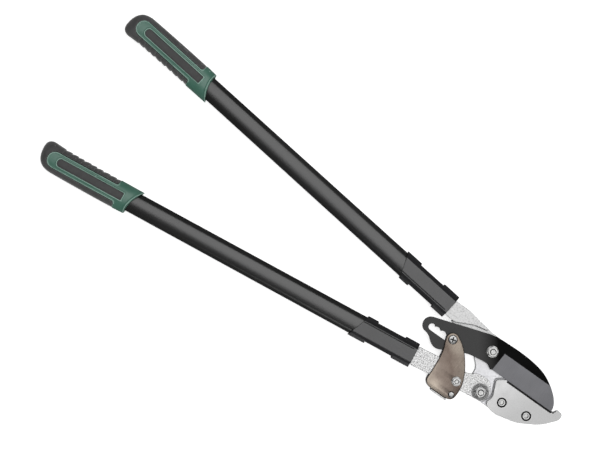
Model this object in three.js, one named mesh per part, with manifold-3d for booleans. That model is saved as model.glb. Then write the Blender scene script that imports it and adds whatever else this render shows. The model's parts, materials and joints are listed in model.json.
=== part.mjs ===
// A two-handed ratchet anvil lopper, closed. Millimetres, +Z up.
// +X runs from the grips to the jaws, parallel to the cutting edge.
// +Y runs from the anvil to the blade's back.
// The origin is on the blade's pivot axis, in the plane that the tool lies on.
import * as THREE from "three";
import { mergeVertices } from "three/addons/utils/BufferGeometryUtils.js";
import Module from "manifold-3d";

const wasm = await Module();
wasm.setup();

// ---------- driving dimensions ----------

const FIT = 0.15; // radial clearance of a pin in its hole
const PAST = 1; // how far a cutting tool runs on past the face that it cuts
const GAP = 0.3; // gap between two pieces shaped by one another
const HANDLE_ANGLE = 6.8; // each handle's slope from the X axis, degrees
const AXIS_Z = 14; // height of the tubes' axes: half the grip's depth

const BLADE_PIVOT = [0, 0];
const HANDLE_PIVOT = [17.3, -52];
const LINK_PIVOT = [-16.4, -58.6];
const RATCHET_PIN = [-51.4, -17.1];
const SPRING_POST = [-11.8, -76.5];
const ANVIL_SCREWS = [
  [48, -46.9],
  [83.9, -42.9],
];

// Layers of the head, from the side that it lies on: [lowest, highest].
const HEAD_Z = [0, 5.3];
const PLATE_Z = [5.3, 12.8];
const SEAT_Z = 10.2;
const BAR_Z = [10, 18];
const BLADE_Z = [13, 17];
const ANVIL_Z = [SEAT_Z, 18.8];
const LINK_BACK_Z = [7.1, 9.6];
const LINK_FRONT_Z = [18.4, 20.9];

const EDGE_Y = -19.4; // the cutting edge
const STRIKE_Y = -19.8; // the anvil's striking face
const BEVEL_TOP_Y = 7;
const BEVEL_HEEL_X = 13.3;
const EDGE_THICKNESS = 0.4;
const EDGE_Z = (BLADE_Z[0] + BLADE_Z[1]) / 2;

const M8 = { radius: 4, acrossFlats: 13 };
const M6 = { radius: 3, acrossFlats: 10 };
const CAP_SCREW = { radius: 3, head: 4.9, socket: 5, counterbore: 6.4 };
const BUSH_RADIUS = 6;
const POST_RADIUS = 2.2;
const RIVET_RADIUS = 2.5;
const PIN_RADIUS = 2.5;
const SEATS = { count: 3, pitch: 9.3, first: -56.6, radius: 5.4, top: -14.8, chord: 4.3 };
const SLOT_FLOOR = -23.8;

const TUBE = { width: 28.8, depth: 17, corner: 7.6, wall: 1.8, taper: 0.055 };
const TANG_LENGTH = 60;
const GRIP = { start: 417.5, end: 556, halfWidth: 18.3, halfDepth: AXIS_Z };
const COLLAR_END = 444;
const TONGUE = { halfWidth: 10.8, end: 543.5 };
const WINDOW = { halfWidth: 5.4, start: 434, end: 529.5, depth: 3.2 };
const FERRULE = { length: 80.5, slant: 0.42, halfWidth: 16.2, halfDepth: 10.5 };
const UPPER = { end: [-77.8, 15.7], outer: -1, turn: 180 - HANDLE_ANGLE, extra: 3 };
const LOWER = { end: [-80.3, -63.3], outer: 1, turn: 180 + HANDLE_ANGLE, extra: -4 };

// Distance from the handle pivot to the lower ferrule's open end.
const HANDLE_REACH = Math.hypot(LOWER.end[0] - HANDLE_PIVOT[0], LOWER.end[1] - HANDLE_PIVOT[1]);

// ---------- outlines ----------

// Points on an arc, angles in degrees.
function arc(x, y, radius, from, to, steps) {
  const points = [];
  for (let i = 0; i <= steps; i++) {
    const a = THREE.MathUtils.degToRad(from + ((to - from) * i) / steps);
    points.push([x + radius * Math.cos(a), y + radius * Math.sin(a)]);
  }
  return points;
}

// Points on a smooth curve through the given points.
function through(points, steps) {
  const curve = new THREE.SplineCurve(points.map((p) => new THREE.Vector2(...p)));
  return curve.getPoints(steps).map((p) => [p.x, p.y]);
}

// A polygon with each corner [x, y, radius] rounded by an arc that touches both of its sides.
function rounded(corners, steps = 5) {
  const points = [];
  corners.forEach(([x, y, radius = 0], i) => {
    const [px, py] = corners.at(i - 1);
    const [nx, ny] = corners[(i + 1) % corners.length];
    const here = new THREE.Vector2(x, y);
    const back = new THREE.Vector2(px - x, py - y).normalize();
    const on = new THREE.Vector2(nx - x, ny - y).normalize();
    const half = Math.acos(THREE.MathUtils.clamp(back.dot(on), -1, 1)) / 2;
    if (!radius || half > 1.56) {
      points.push([x, y]);
      return;
    }
    const middle = back.clone().add(on).normalize();
    const centre = here.clone().addScaledVector(middle, radius / Math.sin(half));
    const start = here.clone().addScaledVector(back, radius / Math.tan(half)).sub(centre);
    const finish = here.clone().addScaledVector(on, radius / Math.tan(half)).sub(centre);
    const from = start.angle();
    let sweep = finish.angle() - from;
    if (sweep > Math.PI) sweep -= 2 * Math.PI;
    if (sweep < -Math.PI) sweep += 2 * Math.PI;
    for (let k = 0; k <= steps; k++) {
      const a = from + (sweep * k) / steps;
      points.push([centre.x + radius * Math.cos(a), centre.y + radius * Math.sin(a)]);
    }
  });
  return points;
}

// An oval of the given half sizes, squarer than an ellipse as its power rises above 2.
function oval(halfWidth, halfDepth, power, sides) {
  return Array.from({ length: sides }, (_, i) => {
    const a = (2 * Math.PI * i) / sides;
    const round = (t) => Math.sign(t) * Math.abs(t) ** (2 / power);
    return [halfWidth * round(Math.cos(a)), halfDepth * round(Math.sin(a))];
  });
}

function bladeOutline() {
  const back = [
    [107.2, EDGE_Y], [106.9, -14.5], [103.8, -8], [96.4, 0.4], [84.4, 9], [70, 15.8],
    [52, 19.4], [32, 20.6], [12, 20.2], [-4, 19.2], [-13.5, 17.2],
  ];
  const belly = [
    [-88.6, -28.6], [-83.4, -29.4], [-78.2, -31.8], [-72.8, -36.3], [-67, -39], [-60.8, -38.9],
    [-53.6, -35.2], [-45.4, -31], [-37.4, -27], [-29.2, -23], [-21.8, -20.4], [-14, -18.8],
    [-5, -17.3], [2.4, -16.6], [7, -18.1], [11, -20.6],
  ];
  return [
    ...through(back, 32),
    ...arc(-84.8, -18.2, 11.2, 108, 248, 14).slice(0, -1),
    ...through(belly, 36),
    [12.6, EDGE_Y],
  ];
}

// The ratchet's slot in the blade's tail: round ends, a straight floor, and a row of shallow seats above it.
function slotOutline() {
  const [pinX] = RATCHET_PIN;
  const { count, pitch, first, radius, top, chord } = SEATS;
  const spread = THREE.MathUtils.radToDeg(Math.asin(chord / radius));
  const seats = Array.from({ length: count }, (_, i) =>
    arc(first - i * pitch, top - radius, radius, 90 - (i ? spread : 16), 90 + spread, 6),
  );
  const end = (SLOT_FLOOR - top) / -2;
  return [
    ...arc(pinX + 0.2, SLOT_FLOOR + 4.8, 4.8, -90, 124, 12),
    ...seats.flat(),
    ...arc(-82.6, SLOT_FLOOR + end, end, 66, 270, 12),
  ];
}

function anvilOutline() {
  return rounded([
    [25.2, -27, 3.2], [36.2, STRIKE_Y + 0.1, 2.4], [40.5, STRIKE_Y, 4], [110.4, STRIKE_Y - 0.6, 0.6],
    [112.6, -13.2, 3.4], [122.4, -13.2, 5], [121.6, -23.2, 10], [105.4, -42.2, 60], [78, -57.8, 60],
    [48, -64.8, 24], [30.2, -60.6, 5.5], [34.6, -48, 12],
  ]);
}

// The anvil arm's plate: the bar's lower layer, the two pivot eyes and the seat that carries the anvil.
// The seat reaches a little way behind the blade's edge.
function armPlateOutline() {
  return rounded([
    [-66, 1.2], [-40, -2.5, 30], [-17, -17.5, 12], [-4.2, -29.5, 14], [-3.6, -46, 10], [8, -62.4, 9],
    [27, -62.4, 8], [48, -62.6, 22], [77, -56.2, 60], [104.6, -41, 60], [119.8, -23, 9],
    [119.8, -15.2, 3], [112.9, -15.2, 1], [111, -18.6, 0.6], [42, -18.6, 3], [35, -17, 4],
    [23.5, -14.5, 6], [18.5, 19, 15], [-15.4, 19.9, 8], [-36.4, 23.2, 30], [-54.2, 26.4, 20],
    [-66, 26.6],
  ]);
}

// The bar's raised face, which stops short of the blade's back. It starts inside the tube as a tang.
function barOutline() {
  const tang = [
    [TANG_LENGTH, 10.4], [2, 10.4], [-4, 11.4],
  ].map(([u, v]) => handlePoint(UPPER, u, v));
  const tangInner = [
    [-4, -11.6], [2, -10.4], [TANG_LENGTH, -10.4],
  ].map(([u, v]) => handlePoint(UPPER, u, v));
  return rounded([
    ...tang, [-54.2, 26.4, 20], [-36.4, 23.2, 30], [-20.6, 20.9, 0.9], [-22, 18.4, 0.8], [-39, 14.8, 20],
    [-62.6, 3.2, 8], ...tangInner,
  ]);
}

// The lower arm, measured along its handle from the handle pivot, outer side positive.
function lowerArmOutline() {
  return rounded([
    [96 + TANG_LENGTH, -10.4], [99, -10.4], [95, -13.6], [60, -14.1, 40], [26.5, -13, 14],
    [14, -18.8, 12], [-5.5, -19.8, 13], [-13.4, -1.5, 12], [-8.4, 11.1, 11], [60, 11.1, 60],
    [95, 12.6], [99, 10.4], [96 + TANG_LENGTH, 10.4],
  ]);
}

function linkOutline(bottom) {
  const [x, y] = RATCHET_PIN;
  const nose = arc(x, y, 8.8, 205, 52, 18);
  const flank = [
    [-38.9, -13.9], [-31.2, -20.4], [-24.1, -28], [-17.9, -36.2], [-12.6, -45], [-8.7, -54],
    [-6.3, -63], [-5.7, -71.2],
  ];
  const foot = rounded([[-5.7, -71.2], [-6.4, bottom, 9], [-50.2, bottom - 0.8, 9.5], [-50.4, -66]]);
  const heel = [
    [-50.4, -66], [-51.2, -55], [-52.3, -44], [-54.6, -33.4], [-57.6, -26.4],
  ];
  return [...nose, ...through(flank, 24), ...foot.slice(1, -1), ...through(heel, 12)];
}

// ---------- solids ----------

// An outline extruded between two heights.
function prism(points, low, high, holes = []) {
  const shape = new THREE.Shape(points.map((p) => new THREE.Vector2(...p)));
  for (const hole of holes)
    shape.holes.push(new THREE.Path(hole.map((p) => new THREE.Vector2(...p))));
  const options = { depth: high - low, bevelEnabled: false };
  return new THREE.ExtrudeGeometry(shape, options).translate(0, 0, low);
}

// A section in Y and Z extruded along X.
function beam(section, from, to, hole, steps = 1) {
  const shape = new THREE.Shape(section.map((p) => new THREE.Vector2(...p)));
  if (hole) shape.holes.push(new THREE.Path(hole.map((p) => new THREE.Vector2(...p))));
  const options = { depth: to - from, bevelEnabled: false, steps };
  const turned = new THREE.Matrix4().set(0, 0, 1, 0, 1, 0, 0, 0, 0, 1, 0, 0, 0, 0, 0, 1);
  return new THREE.ExtrudeGeometry(shape, options).applyMatrix4(turned).translate(from, 0, 0);
}

function disc([x, y], radius, low, high, sides = 28) {
  return new THREE.CylinderGeometry(radius, radius, high - low, sides)
    .rotateX(Math.PI / 2)
    .translate(x, y, (low + high) / 2);
}

function hexagon([x, y], acrossFlats, low, high) {
  return disc([x, y], acrossFlats / Math.sqrt(3), low, high, 6);
}

function deform(geometry, move) {
  const place = geometry.attributes.position;
  for (let i = 0; i < place.count; i++)
    place.setXYZ(i, ...move(place.getX(i), place.getY(i), place.getZ(i)));
  return geometry;
}

function solidOf(geometry) {
  const bare = geometry.clone();
  bare.deleteAttribute("normal");
  bare.deleteAttribute("uv");
  const merged = mergeVertices(bare, 1e-4);
  return new wasm.Manifold(
    new wasm.Mesh({
      numProp: 3,
      vertProperties: merged.attributes.position.array,
      triVerts: new Uint32Array(merged.index.array),
    }),
  );
}

function geometryOf(solid) {
  const mesh = solid.getMesh();
  return new THREE.BufferGeometry()
    .setAttribute("position", new THREE.BufferAttribute(mesh.vertProperties, 3))
    .setIndex(new THREE.BufferAttribute(mesh.triVerts, 1));
}

const join = (...all) => geometryOf(all.map(solidOf).reduce((a, b) => a.add(b)));
const cut = (base, ...tools) =>
  geometryOf(tools.map(solidOf).reduce((a, b) => a.subtract(b), solidOf(base)));
const common = (a, b) => geometryOf(solidOf(a).intersect(solidOf(b)));

// ---------- materials ----------

const finish = (color, roughness, metalness) =>
  new THREE.MeshStandardMaterial({ color, roughness, metalness });
const MATERIALS = {
  blackCoat: finish(0x2b2b2d, 0.4, 0.3),
  blackTube: finish(0x1d1d1f, 0.35, 0.3),
  blackPlastic: finish(0x303033, 0.5, 0),
  blackRubber: finish(0x3a3a3a, 0.8, 0),
  greenPlastic: finish(0x4c8570, 0.5, 0),
  castMetal: finish(0xd6d6d6, 0.55, 0.6),
  forgedMetal: finish(0xcccccc, 0.6, 0.7),
  anvilMetal: finish(0xcacaca, 0.5, 0.5),
  bronzePlate: finish(0x8f7f6c, 0.35, 0.8),
  zincSteel: finish(0xc9c9c6, 0.3, 0.9),
};

function piece(name, geometry, material) {
  const mesh = new THREE.Mesh(geometry, MATERIALS[material]);
  mesh.name = name;
  return mesh;
}

// ---------- handles ----------

// A handle's own frame has its origin on the tube's axis at the ferrule's open end, and +X towards the grip.
// handlePoint takes a point there, outer side positive, to the tool's frame.
function handlePoint(handle, u, v) {
  const point = new THREE.Vector2(u, v * handle.outer);
  point.rotateAround(new THREE.Vector2(), THREE.MathUtils.degToRad(handle.turn));
  return [point.x + handle.end[0], point.y + handle.end[1]];
}

function tubeSection(grow) {
  const w = TUBE.width / 2 + grow;
  const d = TUBE.depth / 2 + grow;
  const r = TUBE.corner + grow;
  return rounded([[w, -d, r], [w, d, r], [-w, d, r], [-w, -d, r]], 4);
}

// The tube narrows evenly from the head to the grip.
function taper(geometry, length) {
  return deform(geometry, (x, y, z) => {
    const share = 0.5 - x / length;
    return [x, y * (1 + TUBE.taper * share), z];
  });
}

function tube(length, rivets) {
  const hollow = beam(tubeSection(0), 3, length - 18, tubeSection(-TUBE.wall));
  return cut(taper(hollow, length), ...rivets.map((at) => disc(at, RIVET_RADIUS + FIT, -12, 12, 20)));
}

// A sleeve with a flat face front and back, sloping shoulders, and open sides between its two bands.
function ferrule(length, outer) {
  const { halfWidth: w, halfDepth: d, slant } = FERRULE;
  const section = [
    [9, d], [-9, d], [-w, 5.4], [-w, -5.4], [-9, -d], [9, -d], [w, -5.4], [w, 5.4],
  ];
  const sleeve = beam(section, 0, FERRULE.length + 8);
  const bore = taper(beam(tubeSection(GAP), -1, FERRULE.length + 9), length);
  const slantedEnd = [
    [FERRULE.length - slant * 20, -20 * outer], [FERRULE.length + 30, -20 * outer],
    [FERRULE.length + 30, 20 * outer], [FERRULE.length + slant * 20, 20 * outer],
  ];
  const ends = outer > 0 ? slantedEnd : slantedEnd.reverse();
  const windows = [-1, 1].map((side) => {
    const [from, to] = side === outer ? [25, 64] : [20, 60];
    return new THREE.BoxGeometry(to - from, 8, 30).translate((from + to) / 2, side * 17.2, 0);
  });
  return cut(sleeve, bore, prism(ends, -20, 20), ...windows);
}

// Half the grip's width and the middle of its width at a distance along the handle.
function gripProfile(u) {
  const rise = THREE.MathUtils.smoothstep(u, GRIP.start, 470);
  const fall = Math.max(0, (u - 526) / (GRIP.end - 526));
  const flare = THREE.MathUtils.smoothstep(u, 520, 550);
  const end = Math.max(0, 1 - fall ** 3) ** (1 / 2.6);
  return {
    half: (GRIP.halfWidth - 1 + rise + 0.9 * flare) * end,
    middle: 0.3 - 1.6 * flare,
    depth: end,
  };
}

function gripBody(outer, grow) {
  const stations = 14;
  const body = beam(oval(1, 1, 2.5, 24), 0, 1, null, stations);
  return deform(body, (x, y, z) => {
    const along = x < 0.6 ? x * 0.9 : 0.54 + 0.46 * Math.sin(((x - 0.6) / 0.4) * (Math.PI / 2));
    const u = GRIP.start + (GRIP.end - 0.15 - GRIP.start) * along;
    const shape = gripProfile(u);
    const v = shape.middle + outer * y * (shape.half + grow);
    const hollow = (0.35 * v + 4 * (1 - y * y)) * Math.max(0, 1 - along * 4);
    return [u + hollow, v * outer, z * (GRIP.halfDepth + grow) * shape.depth];
  });
}

// A slot-shaped prism along the handle, round at its far end.
function stadium(from, to, halfWidth, low, high) {
  const far = to - halfWidth;
  return prism([[from, -halfWidth], ...arc(far, 0, halfWidth, -90, 90, 10), [from, halfWidth]], low, high);
}

function grip(name, length, outer) {
  const body = gripBody(outer, 0);
  const bore = taper(beam(tubeSection(GAP), 380, GRIP.end - 17.5), length);
  const sleeve = (grow) =>
    taper(beam(tubeSection(1.6 + grow), COLLAR_END - 14, GRIP.end - 15.5 + grow), length);
  const collar = (grow) => {
    const edge = COLLAR_END + grow;
    const points = [[380, -40 * outer], [edge - 4, -40 * outer], [edge + 4, 40 * outer], [380, 40 * outer]];
    return prism(outer > 0 ? points : points.reverse(), -20, 20);
  };
  const tongue = (grow) =>
    stadium(COLLAR_END - 12, TONGUE.end + grow, TONGUE.halfWidth + grow, -20, 20);
  const window = (side, grow) => {
    const floor = GRIP.halfDepth - WINDOW.depth - grow;
    const [low, high] = side > 0 ? [floor, 20] : [-20, -floor];
    const { start, end, halfWidth } = WINDOW;
    return prism(
      rounded([
        [start - grow, -halfWidth - grow, 3], [end + grow, -halfWidth - grow, 5],
        [end + grow, halfWidth + grow, 5], [start - grow, halfWidth + grow, 3],
      ], 3), low, high,
    );
  };
  const raised = common(body, join(collar(0), tongue(0)));
  const core = cut(join(raised, sleeve(0)), bore, window(1, GAP), window(-1, GAP));
  const cover = cut(body, join(collar(GAP), tongue(GAP)), sleeve(GAP));
  return [
    piece(`${name}_grip_core`, core, "greenPlastic"),
    piece(`${name}_grip_cover`, cover, "blackRubber"),
    piece(`${name}_grip_pad_front`, common(body, window(1, 0)), "blackRubber"),
    piece(`${name}_grip_pad_back`, common(body, window(-1, 0)), "blackRubber"),
  ];
}

const RIVETS = [
  [22, 0],
  [46, 0],
];

function handle(name, side) {
  const group = new THREE.Group();
  const rest = GRIP.end + side.extra;
  group.add(piece(`${name}_tube`, tube(rest, RIVETS), "blackTube"));
  group.add(piece(`${name}_ferrule`, ferrule(rest, side.outer), "blackPlastic"));
  RIVETS.forEach((at, i) =>
    group.add(piece(`${name}_rivet_${i + 1}`, disc(at, RIVET_RADIUS, -8.3, 8.3, 20), "zincSteel")),
  );
  const hold = new THREE.Group();
  hold.add(...grip(name, GRIP.end, side.outer));
  hold.position.x = side.extra;
  group.add(hold);
  group.position.set(...side.end, AXIS_Z);
  group.rotation.z = THREE.MathUtils.degToRad(side.turn);
  return group;
}

// ---------- head ----------

function blade() {
  const [low, high] = BLADE_Z;
  const bevel = (side) => {
    const face = EDGE_Z + (side * (high - low)) / 2;
    const thin = EDGE_Z + (side * EDGE_THICKNESS) / 2;
    const section = [
      [BEVEL_TOP_Y, face], [EDGE_Y - 1, thin], [EDGE_Y - 1, face + side], [BEVEL_TOP_Y, face + side],
    ];
    return beam(side > 0 ? section : section.reverse(), BEVEL_HEEL_X, 120);
  };
  return cut(
    prism(bladeOutline(), low, high),
    bevel(1),
    bevel(-1),
    disc(BLADE_PIVOT, BUSH_RADIUS + FIT, low - PAST, high + PAST),
    prism(slotOutline(), low - PAST, high + PAST),
  );
}

function anvilArm() {
  const [low, high] = PLATE_Z;
  const plate = prism(armPlateOutline(), low, high);
  const bar = prism(barOutline(), BAR_Z[0], BAR_Z[1]);
  const seat = prism(anvilSeatOutline(), SEAT_Z, high + PAST);
  const hole = (at, radius, sides) => disc(at, radius + FIT, low - PAST, high + PAST, sides);
  const tapped = ANVIL_SCREWS.map((at) => hole(at, CAP_SCREW.radius, 24));
  const bolts = [BLADE_PIVOT, HANDLE_PIVOT].map((at) => hole(at, M8.radius, 32));
  const rivets = RIVETS.map(([u, v]) => disc(handlePoint(UPPER, u, v), RIVET_RADIUS + FIT, 5, 20, 20));
  return cut(join(plate, bar), seat, ...tapped, ...bolts, ...rivets);
}

// The seat's wall stands a little off the anvil's heel, and is open along the rest of it.
function anvilSeatOutline() {
  return rounded([
    [23.4, -26.6, 3.5], [34.8, -18, 3], [36, -10], [130, -10], [130, -70], [27, -70],
    [27.6, -60.5, 3], [32.8, -48, 10],
  ]);
}

// The anvil's striking face is a land behind a step, so that the blade's edge shows from the front.
function anvil() {
  const [low, high] = ANVIL_Z;
  const holes = ANVIL_SCREWS.flatMap((at) => [
    disc(at, CAP_SCREW.radius + FIT, low - PAST, high + PAST, 24),
    disc(at, CAP_SCREW.counterbore, high - 3.6, high + PAST, 36),
  ]);
  const step = new THREE.BoxGeometry(70, 3, 4).translate(72.6, STRIKE_Y - 0.6, EDGE_Z + 2.2);
  return cut(prism(anvilOutline(), low, high), step, ...holes);
}

// A socket cap screw from the front, its head down in the anvil's counterbore.
function anvilScrew(at) {
  const { radius, head, socket } = CAP_SCREW;
  const top = ANVIL_Z[1];
  const shank = disc(at, radius, PLATE_Z[0] + GAP, top - 3, 24);
  const cap = disc(at, head, top - 3.4, top - 0.2, 32);
  return cut(join(shank, cap), hexagon(at, socket, top - 2.4, top + PAST));
}

function boltWithHead(at, size, headZ, end) {
  return join(hexagon(at, size.acrossFlats, ...headZ), disc(at, size.radius, headZ[1] - 0.5, end, 32));
}

function washer(at, bore, radius, low, high) {
  return cut(disc(at, radius, low, high), disc(at, bore, low - PAST, high + PAST));
}

// A lock nut: a hexagon with a round collar on top.
function lockNut(at, size, low, height) {
  const hex = hexagon(at, size.acrossFlats, low, low + height * 0.76);
  const collar = disc(at, size.acrossFlats * 0.42, low, low + height, 32);
  return cut(join(hex, collar), disc(at, size.radius + FIT, low - PAST, low + height + PAST, 32));
}

function linkPlate(bottom, low, high) {
  const holes = [
    disc(RATCHET_PIN, PIN_RADIUS + FIT, low - PAST, high + PAST, 24),
    disc(LINK_PIVOT, M6.radius + FIT, low - PAST, high + PAST, 24),
    disc(SPRING_POST, POST_RADIUS + FIT, low - PAST, high + PAST, 24),
  ];
  return cut(prism(linkOutline(bottom), low, high), ...holes);
}

// The back plate's foot is folded up behind the front plate as a flange.
function linkBackPlate() {
  const [low, high] = LINK_BACK_Z;
  const foot = new THREE.BoxGeometry(24.2, 4, high - low).translate(-25.4, -85.2, (low + high) / 2);
  const flange = new THREE.BoxGeometry(24.2, 1.8, 17.8 - low).translate(-25.4, -86.3, (low + 17.8) / 2);
  return join(linkPlate(-84.2, low, high), foot, flange);
}

// The pin that rides in the blade's slot is a flanged barrel, closed by a screw from the front.
function ratchetBarrel() {
  const [back, front] = [LINK_BACK_Z[0] - 0.05, LINK_FRONT_Z[1]];
  const barrel = disc(RATCHET_PIN, PIN_RADIUS, back - 1, front, 24);
  const bore = disc(RATCHET_PIN, 1.5, 12, front + PAST, 16);
  return cut(join(disc(RATCHET_PIN, 5, back - 2.1, back), barrel), bore);
}

function ratchetScrew() {
  const low = LINK_FRONT_Z[1] + 0.05;
  const [x, y] = RATCHET_PIN;
  const head = new THREE.LatheGeometry(
    [[0, 0], [6, 0], [6, 1.1], [4.9, 2.2], [2.6, 2.8], [0, 2.9]].map((p) => new THREE.Vector2(...p)), 32,
  ).rotateX(Math.PI / 2).translate(x, y, low);
  const cross = [0, 1].map((turn) =>
    new THREE.BoxGeometry(6.4, 1.3, 3).rotateZ((turn * Math.PI) / 2).translate(x, y, low + 3),
  );
  return cut(join(head, disc(RATCHET_PIN, 1.5 - FIT, 12.3, low + 0.5, 16)), ...cross);
}

function springPost() {
  const [back, front] = [LINK_BACK_Z[0] - 0.05, LINK_FRONT_Z[1] + 0.05];
  return join(
    disc(SPRING_POST, 3.6, back - 1.4, back, 24),
    disc(SPRING_POST, POST_RADIUS, back - 1, front + 0.5, 24),
    disc(SPRING_POST, 4.3, front, front + 1.7, 28),
  );
}

// A torsion spring wound on the post, one leg under the lower arm and one on the flange.
function ratchetSpring() {
  const turns = 4;
  const sides = 10;
  const [x, y] = SPRING_POST;
  const points = [new THREE.Vector3(x + 3.4, y + 8.2, 16.6)];
  for (let i = 0; i <= turns * sides; i++) {
    const a = (2 * Math.PI * i) / sides;
    points.push(new THREE.Vector3(x + 3.4 * Math.cos(a), y - 3.4 * Math.sin(a), 16.6 - (1.5 * i) / sides));
  }
  points.push(new THREE.Vector3(x + 3.1, y - 1, 10.6));
  points.push(new THREE.Vector3(x - 4, y - 7.8, 10.6));
  const route = new THREE.CatmullRomCurve3(points);
  const wire = new THREE.Shape(arc(0, 0, 0.55, 0, 288, 4).map((p) => new THREE.Vector2(...p)));
  return new THREE.ExtrudeGeometry(wire, { steps: 56, extrudePath: route });
}

function lowerArm() {
  const [low, high] = BAR_Z;
  const along = (u, v) => handlePoint(LOWER, u - HANDLE_REACH, v);
  const outline = lowerArmOutline().map(([u, v]) => along(u, v));
  const rivets = RIVETS.map(([u, v]) => disc(handlePoint(LOWER, u, v), RIVET_RADIUS + FIT, 5, 20, 20));
  const relief = disc(HANDLE_PIVOT, 29, low - PAST, BLADE_Z[0] + 0.05, 48);
  return cut(
    prism(outline, low, high),
    relief,
    disc(HANDLE_PIVOT, M8.radius + FIT, low - PAST, high + PAST, 32),
    disc(LINK_PIVOT, M6.radius + FIT, low - PAST, high + PAST, 24),
    ...rivets,
  );
}

// ---------- assembly ----------

const lopper = new THREE.Group();

const anvilSide = new THREE.Group();
anvilSide.add(
  piece("anvil_arm", anvilArm(), "castMetal"),
  piece("anvil", anvil(), "anvilMetal"),
  piece("anvil_screw_heel", anvilScrew(ANVIL_SCREWS[0]), "zincSteel"),
  piece("anvil_screw_tip", anvilScrew(ANVIL_SCREWS[1]), "zincSteel"),
  piece("blade_pivot_bolt", boltWithHead(BLADE_PIVOT, M8, HEAD_Z, 26.6), "zincSteel"),
  piece("blade_pivot_bush", washer(BLADE_PIVOT, M8.radius + FIT, BUSH_RADIUS, 12.85, 17.05), "zincSteel"),
  piece("blade_pivot_washer", washer(BLADE_PIVOT, M8.radius + FIT, 7.8, 17.1, 18.7), "zincSteel"),
  piece("blade_pivot_nut", lockNut(BLADE_PIVOT, M8, 18.75, 6.6), "zincSteel"),
  piece("handle_pivot_bolt", boltWithHead(HANDLE_PIVOT, M8, HEAD_Z, 27.4), "zincSteel"),
  piece("handle_pivot_washer", washer(HANDLE_PIVOT, M8.radius + FIT, 7.6, 18.1, 19.5), "zincSteel"),
  piece("handle_pivot_nut", lockNut(HANDLE_PIVOT, M8, 19.55, 6.6), "zincSteel"),
  handle("upper", UPPER),
);

const handleSide = new THREE.Group();
handleSide.add(piece("lower_arm", lowerArm(), "forgedMetal"), handle("lower", LOWER));

const link = new THREE.Group();
link.add(
  piece("link_front_plate", linkPlate(-84.2, ...LINK_FRONT_Z), "bronzePlate"),
  piece("link_back_plate", linkBackPlate(), "zincSteel"),
  piece("ratchet_pin", ratchetBarrel(), "zincSteel"),
  piece("ratchet_pin_screw", ratchetScrew(), "zincSteel"),
  piece("link_bolt", boltWithHead(LINK_PIVOT, M6, [3, 7], 27.7), "zincSteel"),
  piece("link_bolt_washer", washer(LINK_PIVOT, M6.radius + FIT, 6.3, 20.95, 22.1), "zincSteel"),
  piece("link_bolt_nut", lockNut(LINK_PIVOT, M6, 22.15, 5), "zincSteel"),
  piece("spring_post", springPost(), "zincSteel"),
  piece("ratchet_spring", ratchetSpring(), "zincSteel"),
);

lopper.add(anvilSide, handleSide, link, piece("blade", blade(), "blackCoat"));

export default lopper;
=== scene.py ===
"""The looks of a two-handed ratchet anvil lopper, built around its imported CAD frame.

Lengths are in millimetres until a mesh is made. The frame is the CAD's: +X runs from the grips to the jaws,
+Y from the anvil to the back of the blade, and +Z up from the floor that the tool lies on.
"""

import json
import math

import bmesh
import bpy
from mathutils import Matrix, Vector


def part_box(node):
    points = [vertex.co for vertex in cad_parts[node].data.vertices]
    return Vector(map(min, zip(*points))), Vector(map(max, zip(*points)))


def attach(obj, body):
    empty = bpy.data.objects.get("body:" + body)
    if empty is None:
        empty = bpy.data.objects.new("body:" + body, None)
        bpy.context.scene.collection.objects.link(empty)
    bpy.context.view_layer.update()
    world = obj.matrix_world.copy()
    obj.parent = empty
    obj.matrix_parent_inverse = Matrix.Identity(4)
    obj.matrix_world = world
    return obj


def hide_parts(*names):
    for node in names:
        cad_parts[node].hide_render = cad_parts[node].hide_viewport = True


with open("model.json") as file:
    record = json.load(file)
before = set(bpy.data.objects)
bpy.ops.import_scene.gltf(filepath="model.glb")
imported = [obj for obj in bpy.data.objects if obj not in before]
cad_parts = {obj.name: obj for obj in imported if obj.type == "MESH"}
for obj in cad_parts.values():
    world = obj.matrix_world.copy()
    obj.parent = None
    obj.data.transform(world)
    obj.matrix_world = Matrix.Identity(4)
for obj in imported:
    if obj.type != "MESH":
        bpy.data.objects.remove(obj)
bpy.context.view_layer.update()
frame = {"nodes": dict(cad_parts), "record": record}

MM = 0.001
CLEAR = 0.3  # gap between two pieces shaped by one another
PAST = 1  # how far a cutting tool runs on past the face that it cuts

# ---------- places, read from the frame ----------

BODIES = frame["record"]["behaviour"]["bodies"]
BODY_OF = {node: body for body, nodes in BODIES.items() for node in nodes}


def span(node):
    """Lowest and highest corner of a CAD node, in millimetres."""
    return [Vector(corner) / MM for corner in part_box(node)]


def middle(node):
    low, high = span(node)
    return (low + high) / 2


def layer(node):
    """Lowest and highest point of a CAD node."""
    low, high = span(node)
    return low.z, high.z


HANDLE_PIVOT = middle("handle_pivot_bolt")
RATCHET_PIN = middle("ratchet_pin")
SPRING_POST = middle("spring_post")
AXIS_Z = middle("upper_tube").z

ANVIL_SCREWS = ("anvil_screw_heel", "anvil_screw_tip")

# ---------- sizes ----------

STRIKE_Y = -19.8  # the anvil's striking face
LAND_X = (37.5, 107.7)  # from end to end of the land behind the striking face
SEAT_X = (37, 111)  # the same for the arm's seat behind the land
CUTTING_EDGE = -19.4
# The bevel's edge is half the cutting edge's thickness, and its end lies beyond the blade's tip.
BEVEL = {"top": 7.0, "heel": 13.3, "lean": 0.06, "edge": 0.25, "end": 125}
COUNTERBORE = 6.4

M8 = {"radius": 4, "bore": 4.15, "across": 13, "head": 5.3, "pitch": 1.25}
M6 = {"radius": 3, "bore": 3.15, "across": 10, "head": 4, "pitch": 1.0}
CHAMFER = {"share": 0.96, "angle": 28}  # the flat's share of a nut's width, and the slope around it

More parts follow.
